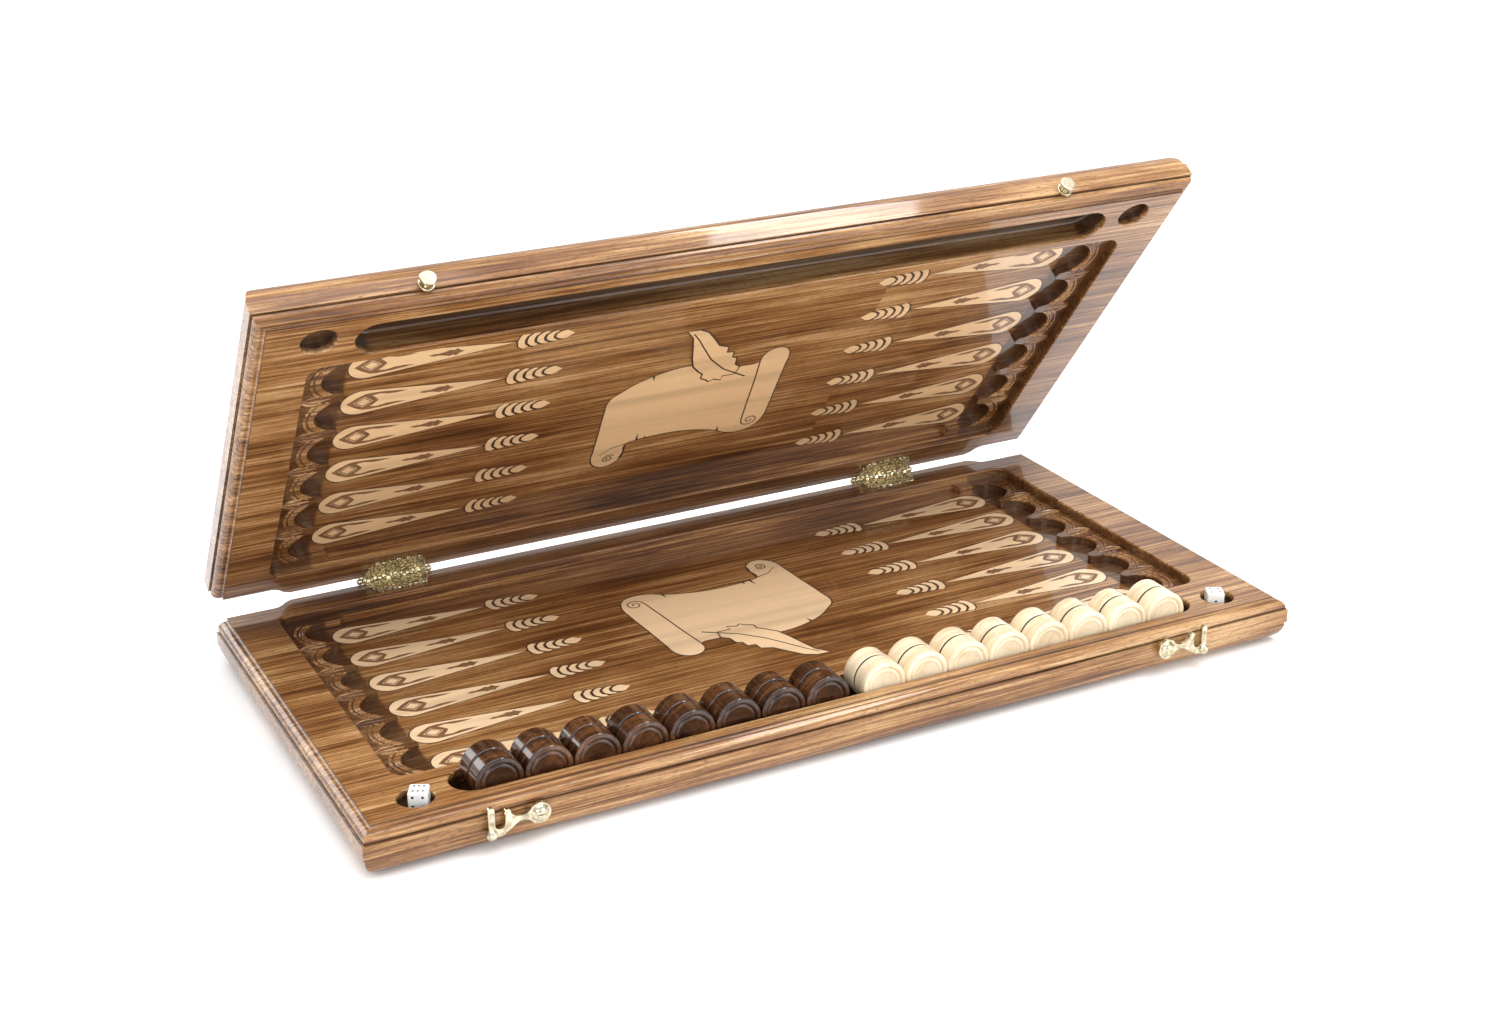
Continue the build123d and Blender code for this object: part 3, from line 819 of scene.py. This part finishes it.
def grown(points, margin):
    """Moves a closed outline outwards by a margin along its corner normals."""
    area = sum(a[0] * b[1] - b[0] * a[1] for a, b in zip(points, points[1:] + points[:1]))
    sign = 1 if area > 0 else -1
    moved = []
    for before, here, after in zip(points[-1:] + points[:-1], points, points[1:] + points[:1]):
        dx, ds = after[0] - before[0], after[1] - before[1]
        size = math.hypot(dx, ds) or 1
        moved.append((here[0] + sign * ds / size * margin, here[1] - sign * dx / size * margin))
    return moved


def flipped(outlines, side):
    """Mirrors outlines left to right when side is -1."""
    return [([(side * x, s) for x, s in points], smooth) for points, smooth in outlines]


def notch(x, s, dx, ds):
    """A torn nick in the scroll's edge."""
    return [(x - 0.9, s), (x + dx, s + ds), (x + 0.9, s)], False


SCROLL_OUTLINE, QUILL_OUTLINE, LINE = 1.0, 1.2, 0.8
large_roll = [
    stroke(ROLL_EDGE, 0.9),
    stroke(ROLL_EDGE[-1:] + spiral((53.0, 90.6), 6.2, 1.6, math.pi), LINE),
]
small_roll = [
    stroke([(-35.4, 89.3), (-45.0, 86.5), (-52.0, 80.0)], LINE, LINE / 2),
    stroke([(-35.4, 89.3), (-35.0, 80.0), (-36.5, 72.5)], LINE),
    stroke(spiral((-44.6, 74.4), 4.4, 1.7, 0.6), LINE),
]
torn_edge = [
    notch(-34.8, 163.6, 1.0, -5.0), notch(-28.6, 91.2, -0.8, 8.0),
    notch(-23.0, 92.0, -0.5, 3.0), notch(31.0, 84.4, -1.0, 5.6),
]
scroll_edge = [(grown(SCROLL, SCROLL_OUTLINE), True)]
quill_edge = [(grown(QUILL, QUILL_OUTLINE), False)]
lines = large_roll + small_roll + [stroke(SPINE, LINE, 1.1)] + torn_edge
for half, side in (("lid", 1), ("lower", -1)):
    lay(f"scroll_outline_{half}", flipped(scroll_edge, side), half, BURNED_EDGE, BURN)
    lay(f"scroll_pale_{half}", flipped([(SCROLL, True)], side), half, PALE_LAYER, PALE[half])
    lay(f"quill_outline_{half}", flipped(quill_edge, side), half, MARK_LAYER, BURN)
    lay(f"quill_pale_{half}", flipped([(QUILL, False)], side), half, QUILL_LAYER, PALE[half])
    lay(f"scroll_lines_{half}", flipped(lines, side), half, LINE_LAYER, BURN)

# %% [markdown]
# The ends of the field are carved: raised crescents run round each scallop, and three short
# ribs, like a bud, fill the corner between two scallops. Each is a round bead swept along a
# line on the terrace and thinned at its ends, half sunk so that it reads as cut from the
# board, and it has the board's own stain.

# %% Carved relief
carved_lower = stained_beech("lower_carved_beech", 0.0, 0.4, paint_hollow_shade=False)
carved_lid = stained_beech("lid_carved_beech", OPENING, 2.1, paint_hollow_shade=False)
CARVED = {"lower": carved_lower, "lid": carved_lid}
TERRACE_SINK = 0.1
END_SHARE = 0.35


def ridge(lines, thickness, name, half):
    """Sweeps a round bead along open lines on the terrace of one half."""
    curve = bpy.data.curves.new(name, "CURVE")
    curve.dimensions = "3D"
    curve.bevel_depth = thickness * MM
    curve.bevel_resolution = 2
    curve.resolution_u = 4
    curve.use_fill_caps = True
    for points in lines:
        spline = curve.splines.new("BEZIER")
        spline.bezier_points.add(len(points) - 1)
        for k, (point, (x, s)) in enumerate(zip(spline.bezier_points, points)):
            point.co = (x * MM, -s * MM, 0)
            point.handle_left_type = point.handle_right_type = "AUTO"
            point.radius = END_SHARE if k in (0, len(points) - 1) else 1.0
    piece = mesh_from(curve)
    height = Matrix.Translation((0, 0, (TERRACE - TERRACE_SINK) * MM))
    piece.data.transform(HALVES[half][0] @ height)
    face_outwards(merge=False)
    bpy.ops.object.shade_smooth()
    fasten(piece, half, CARVED[half])


LOBE_X, LOBE_R = 239.5, 14.8
ARC_STEPS = 8
CRESCENTS = ((2.3, 62), (5.4, 52), (0.7, 66))
CRESCENT_BEAD, RIB_BEAD = 1.15, 1.25


def arc(centre, radius, reach, side):
    """Points of an arc round a scallop, reaching some degrees to both sides of outwards."""
    points = []
    for k in range(ARC_STEPS + 1):
        angle = math.radians(-reach + 2 * reach * k / ARC_STEPS)
        points.append((side * (LOBE_X + radius * math.cos(angle)), centre + radius * math.sin(angle)))
    return points


crescents, ribs = [], []
for row in ROWS:
    for side in (1, -1):
        crescents += [arc(row, LOBE_R + beyond, reach, side) for beyond, reach in CRESCENTS]
for row in ROWS[:-1]:
    middle = row + ROW_PITCH / 2
    for side in (1, -1):
        for bend in (-1, 1):
            ribs.append([(side * 264.0, middle + bend * 0.6), (side * 258.0, middle + bend * 3.4),
                         (side * 251.0, middle + bend * 3.6)])
        ribs.append([(side * 263.5, middle), (side * 255.0, middle), (side * 246.5, middle)])
for half in HALVES:
    ridge(crescents, CRESCENT_BEAD, f"carved_crescents_{half}", half)
    ridge(ribs, RIB_BEAD, f"carved_buds_{half}", half)
